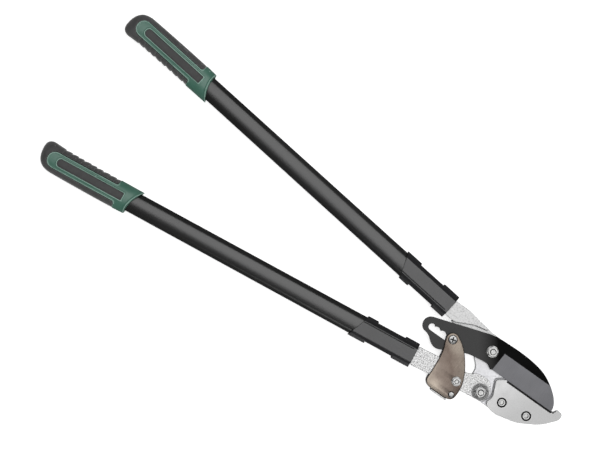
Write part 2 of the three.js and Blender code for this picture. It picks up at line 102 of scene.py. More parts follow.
RIVET_REACH = 22  # from a ferrule's open end to its first rivet
TUBE = {"width": 28.8, "depth": 17, "corner": 6.6, "wall": 1.8, "taper": 0.055, "crown": 3.0}
FERRULE = {"half": 15.9, "depth": 10.5, "flat": 9.4, "edge": 5.2, "rear": 90}
BAND = {"inside": 9.0, "half": 16.9, "edge": 5.4, "depth": 10.0}

# The grip's outer and inner edges, by the square root of the distance from its rounded end.
OUTER_EDGE = [
    (0, -7), (0.8, 0.5), (1.8, 8.0), (2.9, 14.2), (4.2, 17.9), (5.4, 18.6), (9, 19.4), (10.6, 19.4),
    (12.3, 18.4),
]
INNER_EDGE = [
    (0, -9), (0.8, -14), (1.8, -18.2), (3, -20.8), (4.2, -20.2), (5.6, -19.2), (8, -18.6), (10.6, -18),
    (12.3, -17.6),
]
GRIP_LENGTH = 150
GRIP_DEPTH = 14
GRIP_MOUTH = 138.5
BLUNT = {"length": 15, "power": 2.2}  # how the grip's depth falls off to its rounded end
SCOOP = {"start": 105, "slant": 0.35, "depth": 4.8}  # how the mouth slants and curves in
RIBS = {"start": 27, "end": 122, "pitch": 9.4, "depth": 1.7, "dip": 0.1}
TONGUE = {"half": 10.7, "end": 12.6, "collar_inner": 110, "collar_outer": 115}
LIP = {"width": 1.2, "rise": 0.8, "reach": 13.5}
WINDOW = {"half": 5.4, "near": 122, "far": 26.5, "floor": 10.6}
CLEAR_OF_GRIP = 20  # half the thickness of a tool that cuts right through a grip

# ---------- handles' frames ----------


class Handle:
    """A handle's own frame: u along the tube from the ferrule's open end, v outwards, z up."""

    def __init__(self, name, outward):
        first = middle(name + "_rivet_1")
        along = (middle(name + "_rivet_2") - first).normalized()
        side = Vector((-along.y, along.x, 0))
        if side.y * outward < 0:
            side = -side
        self.name = name
        self.origin = Vector((first.x, first.y, AXIS_Z)) - along * RIVET_REACH
        self.turn = Matrix((along, side, (0, 0, 1))).transposed()
        self.end = self.reach(name + "_grip_cover")[1]
        self.tube = self.reach(name + "_tube")

    def reach(self, node):
        """How far along the handle a CAD node starts and ends."""
        along = self.turn.col[0]
        places = [v.co / MM - self.origin for v in frame["nodes"][node].data.vertices]
        distances = [place.dot(along) for place in places]
        return min(distances), max(distances)

    def place(self, obj):
        """Moves a piece made in the handle's frame into the tool's."""
        matrix = Matrix.Translation(self.origin * MM) @ self.turn.to_4x4()
        obj.data.transform(matrix)
        tidy(obj)
        return obj


HANDLES = [Handle("upper", 1), Handle("lower", -1)]

# ---------- meshes ----------


def link(obj):
    bpy.context.scene.collection.objects.link(obj)
    return obj


def mesh_object(name, vertices, faces):
    mesh = bpy.data.meshes.new(name)
    mesh.from_pydata([Vector(v) * MM for v in vertices], [], faces)
    obj = link(bpy.data.objects.new(name, mesh))
    tidy(obj)
    return obj


def tidy(obj):
    """Merges doubled vertices and turns every face outwards."""
    work = bmesh.new()
    work.from_mesh(obj.data)
    bmesh.ops.remove_doubles(work, verts=work.verts, dist=1e-6)
    bmesh.ops.recalc_face_normals(work, faces=work.faces)
    work.to_mesh(obj.data)
    work.free()


def loft(name, rings, cycle=False):
    """A skin over rings of equally many points, with a cap at each end, or closed on itself as a cycle."""
    count = len(rings[0])
    vertices = [point for ring in rings for point in ring]
    faces = []
    for i in range(len(rings) if cycle else len(rings) - 1):
        here = i * count
        on = ((i + 1) % len(rings)) * count
        for j in range(count):
            k = (j + 1) % count
            faces.append((here + j, here + k, on + k, on + j))
    if not cycle:
        faces.append(tuple(range(count)))
        faces.append(tuple(range(len(vertices) - count, len(vertices))))
    return mesh_object(name, vertices, faces)


def ring(centre, radius, z, sides):
    """Points around an upright axis."""
    steps = [2 * math.pi * i / sides for i in range(sides)]
    return [(centre[0] + radius * math.cos(a), centre[1] + radius * math.sin(a), z) for a in steps]


def lathe(name, centre, profile, sides=64, cycle=False):
    """A profile of (radius, height) pairs turned about an upright axis."""
    return loft(name, [ring(centre, radius, z, sides) for radius, z in profile], cycle)


def plate(name, loops, low, high, edge=0.0):
    """A flat plate with the given outlines, holes included, its edges rounded by a small radius."""
    curve = bpy.data.curves.new(name, "CURVE")
    curve.dimensions = "2D"
    curve.fill_mode = "BOTH"
    curve.extrude = ((high - low) / 2 - edge) * MM
    curve.bevel_depth = edge * MM
    curve.bevel_resolution = 2
    curve.offset = -edge * MM
    for loop in loops:
        spline = curve.splines.new("POLY")
        spline.points.add(len(loop) - 1)
        spline.use_cyclic_u = True
        for point, (x, y) in zip(spline.points, loop):
            point.co = (x * MM, y * MM, 0, 1)
    pattern = link(bpy.data.objects.new(name, curve))
    mesh = bpy.data.meshes.new_from_object(evaluated(pattern))
    bpy.data.objects.remove(pattern)
    mesh.transform(Matrix.Translation((0, 0, (low + high) / 2 * MM)))
    obj = link(bpy.data.objects.new(name, mesh))
    tidy(obj)
    return obj


def evaluated(obj):
    return obj.evaluated_get(bpy.context.evaluated_depsgraph_get())


def settle(obj):
    """Applies a piece's modifiers."""
    mesh = bpy.data.meshes.new_from_object(evaluated(obj))
    obj.modifiers.clear()
    obj.data = mesh
    return obj


def combine(obj, tool, operation):
    """A boolean of two pieces, which uses up the second."""
    step = obj.modifiers.new("combine", "BOOLEAN")
    step.object = tool
    step.operation = operation
    step.solver = "EXACT"
    settle(obj)
    bpy.data.objects.remove(tool)
    return obj


def copy_of(name, obj):
    return link(bpy.data.objects.new(name, obj.data.copy()))


def bare_copy(name, node):
    """A copy of a CAD node without its material."""
    obj = copy_of(name, frame["nodes"][node])
    obj.data.materials.clear()
    return obj


def mould(obj, voxel, passes):
    """Rounds a piece's edges off, as a casting or a moulding has them."""
    remesh = obj.modifiers.new("remesh", "REMESH")
    remesh.mode = "VOXEL"
    remesh.voxel_size = voxel * MM
    smooth = obj.modifiers.new("smooth", "SMOOTH")
    smooth.factor = 0.5
    smooth.iterations = passes
    return settle(obj)


# ---------- outlines ----------


def section(node, height):
    """The closed outlines of a CAD node at a height, with its facets softened into curves."""
    work = bmesh.new()
    work.from_mesh(frame["nodes"][node].data)
    bmesh.ops.remove_doubles(work, verts=work.verts, dist=1e-7)
    whole = work.verts[:] + work.edges[:] + work.faces[:]
    plane = (0, 0, height * MM)
    cut = bmesh.ops.bisect_plane(work, geom=whole, plane_co=plane, plane_no=(0, 0, 1))["geom_cut"]
    # A dictionary keeps its order, so each run starts an outline at the same point.
    edges = dict.fromkeys(item for item in cut if isinstance(item, bmesh.types.BMEdge))
    loops = []
    while edges:
        edge, _ = edges.popitem()
        start, here = edge.verts
        loop = [start.co.copy()]
        while here is not start:
            loop.append(here.co.copy())
            edge = next(e for e in here.link_edges if e in edges)
            del edges[edge]
            here = edge.other_vert(here)
        loops.append(softened([(p.x / MM, p.y / MM) for p in loop]))
    work.free()
    return loops


def turning(before, here, after):
    """The angle by which a path turns at a point, in degrees."""
    come = here - before
    go = after - here
    return math.degrees(come.angle(go, 0))


def softened(loop, sharp=32, straight=0.4, steps=4):
    """Rounds off each corner that is no sharper than an angle, which turns a faceted curve smooth."""
    points = [Vector(p) for p in loop]
    count = len(points)
    bends = [turning(points[i - 1], points[i], points[(i + 1) % count]) for i in range(count)]
    points = [point for point, bend in zip(points, bends) if bend > straight]
    smooth = []
    for i, here in enumerate(points):
        before = points[i - 1]
        after = points[(i + 1) % len(points)]
        if turning(before, here, after) > sharp:
            smooth.append(tuple(here))
            continue
        reach = 0.5 * min((before - here).length, (after - here).length)
        start = here + (before - here).normalized() * reach
        finish = here + (after - here).normalized() * reach
        for k in range(steps):
            t = (k + 0.5) / steps
            point = start * (1 - t) ** 2 + here * 2 * t * (1 - t) + finish * t**2
            smooth.append(tuple(point))
    return smooth


def rounded(corners, steps=10):
    """A polygon with each corner (x, y, radius) rounded by an arc that touches both of its sides."""
    points = []
    for i, (x, y, radius) in enumerate(corners):
        here = Vector((x, y))
        back = (Vector(corners[i - 1][:2]) - here).normalized()
        on = (Vector(corners[(i + 1) % len(corners)][:2]) - here).normalized()
        half = back.angle(on) / 2
        if radius == 0:
            points.append((x, y))
            continue
        centre = here + (back + on).normalized() * radius / math.sin(half)
        start = here + back * radius / math.tan(half) - centre
        sweep = start.angle_signed(here + on * radius / math.tan(half) - centre)
        for k in range(steps + 1):
            arm = start.copy()
            arm.rotate(Matrix.Rotation(-sweep * k / steps, 2))
            points.append(tuple(centre + arm))
    return points


def divided(points, length):
    """A closed outline with each side that is longer than a length split into equal steps."""
    result = []
    for i, point in enumerate(points):
        here = Vector(point)
        on = Vector(points[(i + 1) % len(points)])
        steps = math.ceil((on - here).length / length)
        result += [tuple(here.lerp(on, k / steps)) for k in range(steps)]
    return result


def curve_value(points, x):
    """A smooth curve through (x, y) points, read at x."""
    if x <= points[0][0]:
        return points[0][1]
    if x >= points[-1][0]:
        return points[-1][1]
    i = next(k for k in range(len(points) - 1) if points[k + 1][0] >= x)
    x0, y0 = points[i]
    x1, y1 = points[i + 1]
    before = points[max(i - 1, 0)]
    after = points[min(i + 2, len(points) - 1)]
    slope0 = (y1 - before[1]) / (x1 - before[0])
    slope1 = (after[1] - y0) / (after[0] - x0)
    h = x1 - x0
    t = (x - x0) / h
    flat = y0 * (2 * t**3 - 3 * t**2 + 1) + y1 * (3 * t**2 - 2 * t**3)
    return flat + h * (slope0 * (t**3 - 2 * t**2 + t) + slope1 * (t**3 - t**2))


# ---------- materials ----------


class Finish:
    """A material's node tree, with the few kinds of pattern that the finishes here are made of."""

    def __init__(self, name, roughness=0.5, metallic=0.0):
        self.material = bpy.data.materials.new(name)
        self.material.use_nodes = True
        self.nodes = self.material.node_tree.nodes
        self.links = self.material.node_tree.links
        self.shader = self.nodes["Principled BSDF"]
        self.shader.inputs["Roughness"].default_value = roughness
        self.shader.inputs["Metallic"].default_value = metallic
        self.place = self.nodes.new("ShaderNodeTexCoord").outputs["Object"]
        self.normal = None

    def noise(self, size, detail=3, stretch=(1, 1, 1), roughness=0.5):
        """A cloudy pattern whose features are about size millimetres across."""
        mapping = self.nodes.new("ShaderNodeMapping")
        mapping.inputs["Scale"].default_value = [1 / (size * MM * s) for s in stretch]
        self.links.new(self.place, mapping.inputs["Vector"])
        noise = self.nodes.new("ShaderNodeTexNoise")
        noise.inputs["Scale"].default_value = 1
        noise.inputs["Detail"].default_value = detail
        noise.inputs["Roughness"].default_value = roughness
        self.links.new(mapping.outputs["Vector"], noise.inputs["Vector"])
        return noise.outputs["Fac"]

    def cells(self, size):
        """A pattern of small grains."""
        grains = self.nodes.new("ShaderNodeTexVoronoi")
        grains.inputs["Scale"].default_value = 1 / (size * MM)
        self.links.new(self.place, grains.inputs["Vector"])
        return grains.outputs["Distance"]

    def slope(self, direction, reach):
        """Rises from 0 to 1 along a direction in the floor's plane, between two places in millimetres."""
        dot = self.nodes.new("ShaderNodeVectorMath")
        dot.operation = "DOT_PRODUCT"
        dot.inputs[1].default_value = (*direction, 0)
        self.links.new(self.place, dot.inputs[0])
        spread = self.nodes.new("ShaderNodeMapRange")
        spread.inputs["From Min"].default_value = reach[0] * MM
        spread.inputs["From Max"].default_value = reach[1] * MM
        self.links.new(dot.outputs["Value"], spread.inputs["Value"])
        return spread.outputs["Result"]

    def near(self, centre, low, high):
        """Rises from 0 to 1 between two distances from an upright axis, in millimetres."""
        flat = self.nodes.new("ShaderNodeVectorMath")
        flat.operation = "MULTIPLY"
        flat.inputs[1].default_value = (1, 1, 0)
        self.links.new(self.place, flat.inputs[0])
        distance = self.nodes.new("ShaderNodeVectorMath")
        distance.operation = "DISTANCE"
        distance.inputs[1].default_value = (centre.x * MM, centre.y * MM, 0)
        self.links.new(flat.outputs["Vector"], distance.inputs[0])
        spread = self.nodes.new("ShaderNodeMapRange")
        spread.inputs["From Min"].default_value = low * MM
        spread.inputs["From Max"].default_value = high * MM
        self.links.new(distance.outputs["Value"], spread.inputs["Value"])
        return spread.outputs["Result"]

    def ramp(self, source, *stops):
        """Colours set along a pattern's values: pairs of value and colour."""
        ramp = self.nodes.new("ShaderNodeValToRGB")
        elements = ramp.color_ramp.elements
        while len(elements) < len(stops):
            elements.new(0.5)
        for element, (position, colour) in zip(elements, stops):
            element.position = position
            element.color = (*colour, 1)
        self.links.new(source, ramp.inputs["Fac"])
        return ramp.outputs["Color"]

    def mix(self, share, first, second, kind="MIX"):
        """Blends two colours by a pattern or a number."""
        mix = self.nodes.new("ShaderNodeMix")
        mix.data_type = "RGBA"
        mix.blend_type = kind
        for socket, value in ((mix.inputs[0], share), (mix.inputs[6], first), (mix.inputs[7], second)):
            if isinstance(value, bpy.types.NodeSocket):
                self.links.new(value, socket)
            else:
                socket.default_value = value if isinstance(value, float) else (*value, 1)
        return mix.outputs[2]

    def edges(self, low, high):
        """0 on flats and hollows, rising to 1 on sharp outer edges."""
        shape = self.nodes.new("ShaderNodeNewGeometry")
        spread = self.nodes.new("ShaderNodeMapRange")
        spread.inputs["From Min"].default_value = low
        spread.inputs["From Max"].default_value = high
        self.links.new(shape.outputs["Pointiness"], spread.inputs["Value"])
        return spread.outputs["Result"]

    def colour(self, source):
        self.links.new(source, self.shader.inputs["Base Color"])

    def rough(self, source, low, high):
        spread = self.nodes.new("ShaderNodeMapRange")
        spread.inputs["From Min"].default_value = 0.3
        spread.inputs["From Max"].default_value = 0.7
        spread.inputs["To Min"].default_value = low
        spread.inputs["To Max"].default_value = high
        self.links.new(source, spread.inputs["Value"])
        self.links.new(spread.outputs["Result"], self.shader.inputs["Roughness"])

    def bump(self, source, depth, strength=1.0):
        """Raises the surface by up to depth millimetres."""
        bump = self.nodes.new("ShaderNodeBump")
        bump.inputs["Distance"].default_value = depth * MM
        bump.inputs["Strength"].default_value = strength
        self.links.new(source, bump.inputs["Height"])
        if self.normal:
            self.links.new(self.normal, bump.inputs["Normal"])
        self.normal = bump.outputs["Normal"]
        self.links.new(self.normal, self.shader.inputs["Normal"])


def grey(value, tint=1.0):
    return (value, value, value * tint)


def blade_coat():
    finish = Finish("blade_coat")
    grain = finish.noise(0.35, 4)
    cloud = finish.noise(30, 2)
    base = finish.ramp(cloud, (0.3, grey(0.016)), (0.7, grey(0.023)))
    # Painted shade: towards the blade's back and round the pivot nut, the coat is darkened to near black and
    # made metallic so that it shows almost no reflection. This stands for the nut's shadow and the dark
    # reflection there.
    shade = finish.slope((0.8, 0.6), (-18, 8))
    shaded_back = finish.mix(shade, base, grey(0.003))
    finish.links.new(shade, finish.shader.inputs["Metallic"])
    specks = finish.ramp(grain, (0.45, grey(0.8)), (0.62, grey(1.35)))
    finish.colour(finish.mix(1.0, shaded_back, specks, "MULTIPLY"))
    finish.rough(cloud, 0.42, 0.5)
    finish.bump(grain, 0.02, 0.5)
    finish.shader.inputs["Specular IOR Level"].default_value = 0.25
    return finish.material


def ground_bevel():
    finish = Finish("ground_bevel", metallic=0.35)
    strokes = finish.noise(0.35, 3, (1, 60, 60))
    cloud = finish.noise(25, 2)
    base = finish.ramp(cloud, (0.3, (0.1, 0.1, 0.108)), (0.7, (0.118, 0.118, 0.127)))
    lines = finish.ramp(strokes, (0.3, grey(0.9)), (0.7, grey(1.1)))
    finish.colour(finish.mix(1.0, base, lines, "MULTIPLY"))
    finish.rough(strokes, 0.4, 0.5)
    finish.bump(strokes, 0.01, 0.35)
    return finish.material


def slot_shade():
    """Painted shade: a near-black, blotchy finish on the land behind the striking face and in recesses,
    where shadow falls.
    """
    finish = Finish("slot_shade")
    stains_and_shade = finish.noise(2.5, 4)
    finish.colour(finish.ramp(stains_and_shade, (0.3, grey(0.004)), (0.7, grey(0.012))))
    finish.rough(stains_and_shade, 0.5, 0.7)
    finish.shader.inputs["Specular IOR Level"].default_value = 0.2
    finish.bump(stains_and_shade, 0.05, 0.4)
    return finish.material


def cast_metal():
    finish = Finish("cast_metal", metallic=0.7)
    mottle = finish.noise(2.6, 5, roughness=0.62)
    grain = finish.noise(0.5, 3)
    rough_cast = finish.ramp(mottle, (0.3, grey(0.22)), (0.5, grey(0.45)), (0.72, grey(0.6)))
    root = finish.slope((0.5, -0.87), (-5, 30))
    base = finish.mix(root, rough_cast, grey(0.54, 1.03))
    pits = finish.ramp(grain, (0.3, grey(0.78)), (0.5, grey(1.0)))
    worn = finish.mix(finish.edges(0.52, 0.6), finish.mix(1.0, base, pits, "MULTIPLY"), grey(0.7))
    finish.colour(worn)
    finish.rough(mottle, 0.42, 0.6)
    finish.bump(mottle, 0.2, 0.5)
    finish.bump(grain, 0.05, 0.4)
    return finish.material


def forged_metal():
    finish = Finish("forged_metal", metallic=0.8)
    lumps = finish.noise(1.5, 4, roughness=0.7)
    grains = finish.cells(1.3)
    scale = finish.ramp(lumps, (0.36, grey(0.04)), (0.47, grey(0.36)), (0.66, grey(0.72)))
    # Painted shade: the forging is darker within about 11 mm of the handle pivot, for the nut's shadow on
    # the lobe around it.
    pivot_shade = finish.ramp(lumps, (0.4, grey(0.03)), (0.7, grey(0.3)))
    base = finish.mix(finish.near(HANDLE_PIVOT, 12.5, 10.5), scale, pivot_shade)
    pits = finish.ramp(grains, (0.0, grey(0.72)), (0.35, grey(1.05)))
    worn = finish.mix(finish.edges(0.52, 0.62), finish.mix(1.0, base, pits, "MULTIPLY"), grey(0.75))
    finish.colour(worn)
    finish.rough(lumps, 0.3, 0.5)
    finish.bump(lumps, 0.5, 0.9)
    finish.bump(grains, 0.12, 0.5)
    return finish.material


def anvil_metal():
    finish = Finish("anvil_metal", metallic=0.6)
    cloud = finish.noise(14, 3)
    grain = finish.noise(0.55, 4, roughness=0.65)
    base = finish.ramp(cloud, (0.3, grey(0.45)), (0.7, grey(0.55)))
    specks = finish.ramp(grain, (0.3, grey(0.7)), (0.48, grey(1.0)), (0.7, grey(1.15)))
    # Painted shade: the anvil darkens towards its tip, for the overhead light falling off there.
    shaded_to_tip = finish.mix(finish.slope((0.9, -0.43), (45, 85)), base, grey(0.4))
    worn = finish.mix(finish.edges(0.52, 0.6), finish.mix(1.0, shaded_to_tip, specks, "MULTIPLY"), grey(0.75))
    finish.colour(worn)
    finish.rough(grain, 0.45, 0.6)
    finish.bump(grain, 0.05, 0.4)
    return finish.material


def bronze_plate():
    finish = Finish("bronze_plate", metallic=0.9)
    # Painted shading: the plate's colour follows a gradient across it, for the light falling on it, mixed
    # with some random tone.
    tint = finish.mix(0.3, finish.slope((-0.6, -0.8), (42, 100)), finish.noise(16, 3))
    brush = finish.noise(0.3, 3, (1, 30, 1))
    stains_and_shade = finish.noise(3.0, 5, roughness=0.7)
    stops = (
        (0.1, (0.14, 0.12, 0.1)), (0.32, (0.068, 0.052, 0.043)), (0.55, (0.104, 0.084, 0.071)),
        (0.85, (0.3, 0.26, 0.215)),
    )
    base = finish.ramp(tint, *stops)
    spots = finish.ramp(stains_and_shade, (0.28, (0.55, 0.5, 0.45)), (0.4, grey(1.0)))
    finish.colour(finish.mix(1.0, base, spots, "MULTIPLY"))
    finish.rough(brush, 0.26, 0.38)
    finish.bump(brush, 0.006, 0.3)
    return finish.material


ZINC = 0.26  # how light clean zinc is


def zinc_steel():
    finish = Finish("zinc_steel", metallic=1.0)
    patches = finish.noise(2.6, 3)
    fine = finish.noise(0.2, 2)
    stops = ((0.35, grey(ZINC * 0.5, 1.02)), (0.6, grey(ZINC, 0.98)))
    finish.colour(finish.ramp(patches, *stops))
    finish.rough(patches, 0.2, 0.34)
    finish.bump(fine, 0.01, 0.3)
    return finish.material


def black_tube():
    finish = Finish("black_tube")
    peel = finish.noise(0.7, 3)
    cloud = finish.noise(60, 2, (3, 1, 1))
    finish.colour(finish.ramp(cloud, (0.3, grey(0.009)), (0.7, grey(0.014))))
    finish.rough(cloud, 0.26, 0.32)
    finish.bump(peel, 0.015, 0.25)
    return finish.material


def black_plastic():
    finish = Finish("black_plastic")
    grain = finish.noise(0.4, 4)
    cloud = finish.noise(25, 2)
    base = finish.ramp(cloud, (0.3, grey(0.009, 1.15)), (0.7, grey(0.015, 1.12)))
    finish.colour(finish.mix(finish.edges(0.53, 0.62), base, grey(0.07)))
    finish.rough(grain, 0.3, 0.4)
    finish.bump(grain, 0.03, 0.35)
    return finish.material


def black_rubber():
    finish = Finish("black_rubber")
    grain = finish.noise(0.35, 4)
    dust = finish.noise(9, 4)
    base = finish.ramp(dust, (0.3, grey(0.046)), (0.7, grey(0.064)))
    # Painted highlight: the sharp outer edges are lighter, for rim light along them.
    finish.colour(finish.mix(finish.edges(0.51, 0.57), base, grey(0.12)))
    finish.rough(dust, 0.66, 0.78)
    finish.bump(grain, 0.05, 0.5)
    finish.shader.inputs["Specular IOR Level"].default_value = 0.35
    finish.shader.inputs["Sheen Weight"].default_value = 0.35
    finish.shader.inputs["Sheen Roughness"].default_value = 0.4
    return finish.material


def green_plastic():
    finish = Finish("green_plastic")
    grain = finish.noise(0.5, 3)
    cloud = finish.noise(20, 3)
    base = finish.ramp(cloud, (0.3, (0.043, 0.125, 0.09)), (0.7, (0.06, 0.15, 0.112)))
    # Painted highlight: the lips and other sharp edges are a lighter green.
    finish.colour(finish.mix(finish.edges(0.505, 0.545), base, (0.28, 0.42, 0.36)))
    finish.rough(cloud, 0.34, 0.42)
    finish.bump(grain, 0.02, 0.25)
    return finish.material


MATERIALS = {
    "blade_coat": blade_coat(),
    "ground_bevel": ground_bevel(),
    "slot_shade": slot_shade(),
    "cast_metal": cast_metal(),
    "forged_metal": forged_metal(),
    "anvil_metal": anvil_metal(),
    "bronze_plate": bronze_plate(),
    "zinc_steel": zinc_steel(),
    "black_tube": black_tube(),
    "black_plastic": black_plastic(),
    "black_rubber": black_rubber(),
    "green_plastic": green_plastic(),
}


def dress(obj, slot, *nodes, crease=35):
    """Gives a finished piece its shading, material and body, and hides the CAD nodes that it stands for."""
    obj.data.shade_smooth()
    obj.data.set_sharp_from_angle(angle=math.radians(crease))
    if not obj.data.materials:
        obj.data.materials.append(MATERIALS[slot])
    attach(obj, BODY_OF[nodes[0]])
    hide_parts(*nodes)
    return obj


def shade(obj, slot, in_shadow, upright=False):
    """Gives a piece its material, and the painted-shade one to the faces where shadow falls, or only to the
    upright ones among them.
    """
    obj.data.materials.append(MATERIALS[slot])
    obj.data.materials.append(MATERIALS["slot_shade"])
    for face in obj.data.polygons:
        if in_shadow(face.center / MM) and not (upright and abs(face.normal.z) >= 0.5):
            face.material_index = 1


# ---------- fasteners ----------


def hexagon(name, centre, across, low, high, turn, chamfer=True):
    """A hexagonal block with its corners turned off at the top and the bottom."""
    radius = across / math.sqrt(3)
    corners = [
        (
            centre[0] + radius * math.cos(math.radians(60 * i + turn)),
            centre[1] + radius * math.sin(math.radians(60 * i + turn)),
        )
        for i in range(6)
    ]
    block = plate(name, [corners], low, high)
    if not chamfer:
        return block
    flat = across / 2 * CHAMFER["share"]
    slope = (radius - flat) * math.tan(math.radians(CHAMFER["angle"]))
    outside = radius + 0.1
    rim = [(flat, low), (outside, low + slope), (outside, high - slope), (flat, high)]
    return combine(block, lathe("rim", centre, rim), "INTERSECT")


def thread(radius, pitch, low, high):
    """The outside of a threaded rod, as a profile of (radius, height) pairs, with a chamfered tip."""
    root = radius - 0.33 * pitch
    chamfer = 0.9
    profile = []
    turns = int((high - low - pitch) / pitch)
    for i in range(turns):
        base = low + i * pitch
        profile += [(root, base), (radius, base + pitch * 0.45), (radius, base + pitch * 0.6)]
    profile += [(root, low + turns * pitch), (radius - 0.1, high - chamfer), (radius - chamfer, high)]
    return profile


def bolt(name, node, size, thread_from, turn):
    """A hexagon bolt, head down."""
    centre = middle(node)
    low, high = layer(node)
    top = low + size["head"]
    radius = size["radius"]
    block = hexagon(name, centre, size["across"], low, top, turn)
    shank = [(radius, top - 0.5), (radius, thread_from), *thread(radius, size["pitch"], thread_from, high)]
    combine(block, lathe("shank", centre, shank, 40), "UNION")
    return dress(block, "zinc_steel", node)


def lock_nut(name, node, size, turn):
    """A nut with a round collar that holds a plastic locking ring."""
    centre = middle(node)
    low, high = layer(node)
    bore = size["bore"]
    hex_top = low + 0.7 * (high - low)
    block = hexagon(name, centre, size["across"], low, hex_top + 0.1, turn)
    wide = size["across"] * 0.4
    collar = [
        (bore, hex_top - 1), (wide, hex_top - 1), (wide, high - 0.9), (wide - 0.35, high - 0.25),
        (wide - 0.9, high), (bore + 1.3, high), (bore + 0.9, high - 0.35), (bore, high - 0.5),
    ]
    combine(block, lathe("hole", centre, [(bore, low - PAST), (bore, hex_top + PAST)], 48), "DIFFERENCE")
    combine(block, lathe("collar", centre, collar, 64, cycle=True), "UNION")
    return dress(block, "zinc_steel", node)


def washer(name, node, size):
    """A washer or a bush, with its rims broken."""
    centre = middle(node)
    low, high = span(node)
    bore = size["bore"]
    radius = (high.x - low.x) / 2
    edge = 0.25
    profile = [
        (bore, low.z), (radius - edge, low.z), (radius, low.z + edge), (radius, high.z - edge),
        (radius - edge, high.z), (bore + edge, high.z), (bore, high.z - edge),
    ]
    return dress(lathe(name, centre, profile, 72, cycle=True), "zinc_steel", node)


def pivots():
    """Each joint's bolt, washer and lock nut, turned by a few degrees as they happen to stand."""
    bolt("main_bolt", "blade_pivot_bolt", M8, 17, 14)
    bolt("arm_bolt", "handle_pivot_bolt", M8, 17, 33)
    bolt("link_pivot_bolt", "link_bolt", M6, 19, 25)
    washer("main_washer", "blade_pivot_washer", M8)
    washer("main_bush", "blade_pivot_bush", M8)
    washer("arm_washer", "handle_pivot_washer", M8)
    washer("link_washer", "link_bolt_washer", M6)
    lock_nut("main_nut", "blade_pivot_nut", M8, 8)
    lock_nut("arm_nut", "handle_pivot_nut", M8, 27)
    lock_nut("link_nut", "link_bolt_nut", M6, 19)


def anvil_screws():
    """Socket cap screws, sunk in the anvil, with painted shade on the walls of their sockets."""
    for node, turn in zip(ANVIL_SCREWS, (12, 37)):
        centre = middle(node)
        low, high = layer(node)
        profile = [
            (2.9, low), (3, low + 0.4), (3, high - 3.3), (4.9, high - 3.3), (4.9, high - 0.5), (4.4, high),
            (3.1, high), (2.75, high - 0.3),
        ]
        screw = lathe(node + "_cap", centre, profile, 56)
        socket = hexagon("socket", centre, 5, high - 2.3, high + PAST, turn, chamfer=False)
        combine(screw, socket, "DIFFERENCE")
        # Painted shade on the socket walls.
        shade(screw, "zinc_steel", lambda at: (at - centre).xy.length < 2.8 and at.z > low + 3, upright=True)
        dress(screw, "zinc_steel", node)


def ratchet_pin():
    """The flanged barrel in the blade's slot, and the cross-recessed screw that closes it."""
    low, high = layer("ratchet_pin")
    barrel = [
        (1.5, low), (4.6, low), (5, low + 0.4), (5, low + 2), (2.5, low + 2.1), (2.5, high), (1.5, high),
    ]
    dress(lathe("slot_barrel", RATCHET_PIN, barrel, 56, cycle=True), "zinc_steel", "ratchet_pin")
    low, high = layer("ratchet_pin_screw")
    seat = high - 2.9
    head = [
        (1.35, low), (1.35, seat), (6, seat), (6.1, seat + 0.6), (6.1, seat + 1.6), (5.8, seat + 2.1),
        (5.2, seat + 2.4), (4.0, seat + 2.62), (2.4, seat + 2.8), (0.8, seat + 2.9),
    ]
    screw = lathe("slot_screw", RATCHET_PIN, head, 64)
    for turn in (20, 110):
        blade_of_driver = plate("recess", [[(-3.6, -0.9), (3.6, -0.9), (3.6, 0.9), (-3.6, 0.9)]], -1.9, 2)
        blade_of_driver.data.transform(Matrix.Rotation(math.radians(turn), 4, "Z"))
        blade_of_driver.data.transform(Matrix.Translation(Vector((*RATCHET_PIN.xy, high)) * MM))
        combine(screw, blade_of_driver, "DIFFERENCE")

    def in_recess(at):
        return (at - RATCHET_PIN).xy.length < 3.6 and high - 2 < at.z < high - 0.4

    # Painted shade in the cross recess.
    shade(screw, "zinc_steel", in_recess)
    dress(screw, "zinc_steel", "ratchet_pin_screw")


def spring_post():
    """The rivet with a hollow head that carries the spring."""
    low, high = layer("spring_post")
    profile = [
        (3.0, low), (3.6, low + 0.4), (3.6, low + 1.3), (2.2, low + 1.4), (2.2, high - 1.75),
        (4.2, high - 1.75), (4.3, high - 1.2), (3.9, high - 0.4), (3.2, high), (1.5, high),
        (1.2, high - 0.5),
    ]
    dress(lathe("post_rivet", SPRING_POST, profile, 48), "zinc_steel", "spring_post")


def ratchet_spring():
    """A torsion spring wound on the post, one leg under the arm and one on the link's flange."""
    x, y, _ = SPRING_POST
    _, high = layer("ratchet_spring")
    top = high - 0.6
    radius = 3.4
    turns = 4
    steps = 24
    fall = 6.0
    points = [(x + radius, y + 8.2, top), (x + radius, y + 4, top)]
    for i in range(turns * steps + 1):
        a = 2 * math.pi * i / steps
        points.append((x + radius * math.cos(a), y - radius * math.sin(a), top - fall * i / (turns * steps)))
    points += [(x + 3.1, y - 1, top - fall), (x - 4, y - 7.8, top - fall)]
    curve = bpy.data.curves.new("return_spring", "CURVE")
    curve.dimensions = "3D"
    curve.bevel_depth = 0.55 * MM
    curve.bevel_resolution = 3
    curve.use_fill_caps = True
    spline = curve.splines.new("POLY")
    spline.points.add(len(points) - 1)
    for point, place in zip(spline.points, points):
        point.co = (*(Vector(place) * MM), 1)
    pattern = link(bpy.data.objects.new("pattern", curve))
    mesh = bpy.data.meshes.new_from_object(evaluated(pattern))
    bpy.data.objects.remove(pattern)
    spring = link(bpy.data.objects.new("return_spring", mesh))
    dress(spring, "zinc_steel", "ratchet_spring")


# ---------- head ----------


